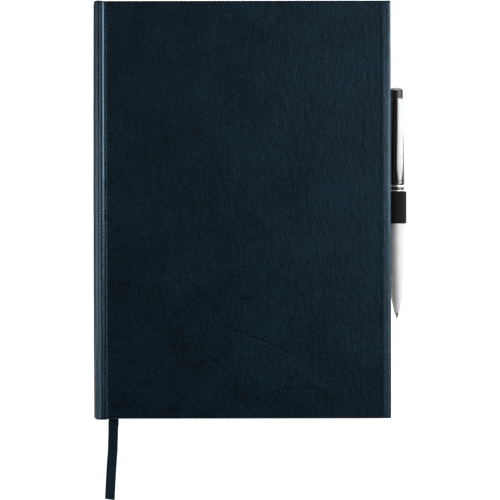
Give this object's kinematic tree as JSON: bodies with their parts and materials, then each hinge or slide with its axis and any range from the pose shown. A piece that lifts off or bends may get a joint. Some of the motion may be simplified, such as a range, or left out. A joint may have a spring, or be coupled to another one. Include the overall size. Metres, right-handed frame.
{
  "type": "pilot logbook",
  "caption": "Case-bound portrait logbook in dark leatherette, with opening covers, turning leaves, a ribbon bookmark and a twist pen in an elastic loop.",
  "frame": {"origin": "on the flat outer face of the back cover, midway between head and tail and between the spine and the fore-edge", "axes": "+Y towards the head of the book, +X towards the fore-edge and the pen, +Z out of the front cover"},
  "size_m": [0.188, 0.2991, 0.019],
  "materials": {
    "navy_leather": "fine-grained, satin",
    "grey_board": "uncoated",
    "endpaper": "uncoated",
    "page_paper": "uncoated",
    "gauze": "open weave",
    "band_thread": "wound thread",
    "satin_ribbon": "satin",
    "black_elastic": "ribbed weave",
    "satin_silver": "satin",
    "chrome": "polished",
    "black_lacquer": "gloss",
    "brass": "turned",
    "spring_steel": "bright",
    "grey_plastic": "satin",
    "white_plastic": "moulded"
  },
  "bodies": {
    "page_block": {"spine_board": "grey_board", "spine_leather": "navy_leather", "spine_lining": "page_paper", "mull": "gauze", "head_band": "band_thread", "tail_band": "band_thread", "signature_01": "page_paper", "signature_02": "page_paper", "signature_03": "page_paper", "signature_04": "page_paper", "signature_05": "page_paper", "signature_06": "page_paper", "signature_07": "page_paper", "signature_08": "page_paper", "ribbon_bookmark": "satin_ribbon"},
    "front_cover": {"front_board": "grey_board", "front_leather": "navy_leather", "front_pastedown": "endpaper"},
    "back_cover": {"back_board": "grey_board", "back_leather": "navy_leather", "back_pastedown": "endpaper", "pen_loop": "black_elastic"},
    "front_leaf": {"front_flyleaf": "endpaper"},
    "log_page_1": {"log_leaf_1": "page_paper"},
    "log_page_2": {"log_leaf_2": "page_paper"},
    "back_leaf": {"back_flyleaf": "endpaper"},
    "pen_lower": {"pen_lower_barrel": "satin_silver", "pen_coupling_sleeve": "brass", "pen_spring": "spring_steel", "pen_lower_ring": "chrome", "pen_band": "black_lacquer"},
    "pen_upper": {"pen_upper_ring": "chrome", "pen_upper_barrel": "black_lacquer", "pen_twist_cam": "white_plastic", "pen_cap": "black_lacquer", "pen_cap_disc": "grey_plastic", "pen_clip_ring": "spring_steel"},
    "pen_refill": {"refill_tube": "white_plastic", "refill_point": "brass", "refill_ball": "spring_steel", "pen_plunger": "white_plastic"},
    "pen_clip": {"pen_clip": "satin_silver"}
  },
  "joints": [
    {"name": "front_cover_hinge", "type": "hinge", "parent": "page_block", "child": "front_cover", "pos_m": [-0.0857, 0, 0.0155], "axis": [0, -1, 0], "range_deg": [0, 178]},
    {"name": "front_flyleaf_turn", "type": "hinge", "parent": "page_block", "child": "front_leaf", "pos_m": [-0.0813, 0, 0.01465], "axis": [0, -1, 0], "range_deg": [0, 98]},
    {"name": "log_leaf_1_turn", "type": "hinge", "parent": "page_block", "child": "log_page_1", "pos_m": [-0.081, 0, 0.01425], "axis": [0, -1, 0], "range_deg": [0, 75]},
    {"name": "log_leaf_2_turn", "type": "hinge", "parent": "page_block", "child": "log_page_2", "pos_m": [-0.0807, 0, 0.01385], "axis": [0, -1, 0], "range_deg": [0, 54]},
    {"name": "back_cover_hinge", "type": "hinge", "parent": "page_block", "child": "back_cover", "pos_m": [-0.0857, 0, 0.0035], "axis": [0, 1, 0], "range_deg": [0, 178]},
    {"name": "back_flyleaf_turn", "type": "hinge", "parent": "page_block", "child": "back_leaf", "pos_m": [-0.0813, 0, 0.00435], "axis": [0, 1, 0], "range_deg": [0, 98]},
    {"name": "pen_slide", "type": "slide", "parent": "back_cover", "child": "pen_lower", "axis": [0, 1, 0], "range_m": [-0.005, 0.085]},
    {"name": "pen_twist", "type": "hinge", "parent": "pen_lower", "child": "pen_upper", "pos_m": [0.093, 0, 0.0095], "axis": [0, 1, 0], "range_deg": [0, 120]},
    {"name": "refill_slide", "type": "slide", "parent": "pen_lower", "child": "pen_refill", "axis": [0, 1, 0], "range_m": [0, 0.0055]},
    {"name": "clip_flex", "type": "hinge", "parent": "pen_upper", "child": "pen_clip", "pos_m": [0.09472, 0.0669, 0.01376], "axis": [-0.9272, 0, 0.3746], "range_deg": [0, 5], "stiffness_Nm_per_rad": 0.3}
  ],
  "couplings": [
    {"joint": "front_flyleaf_turn", "follows": "front_cover_hinge", "ratio": 0.55},
    {"joint": "log_leaf_1_turn", "follows": "front_cover_hinge", "ratio": 0.42},
    {"joint": "log_leaf_2_turn", "follows": "front_cover_hinge", "ratio": 0.3},
    {"joint": "back_flyleaf_turn", "follows": "back_cover_hinge", "ratio": 0.55},
    {"joint": "refill_slide", "follows": "pen_twist", "m_per_rad": 0.002626}
  ]
}
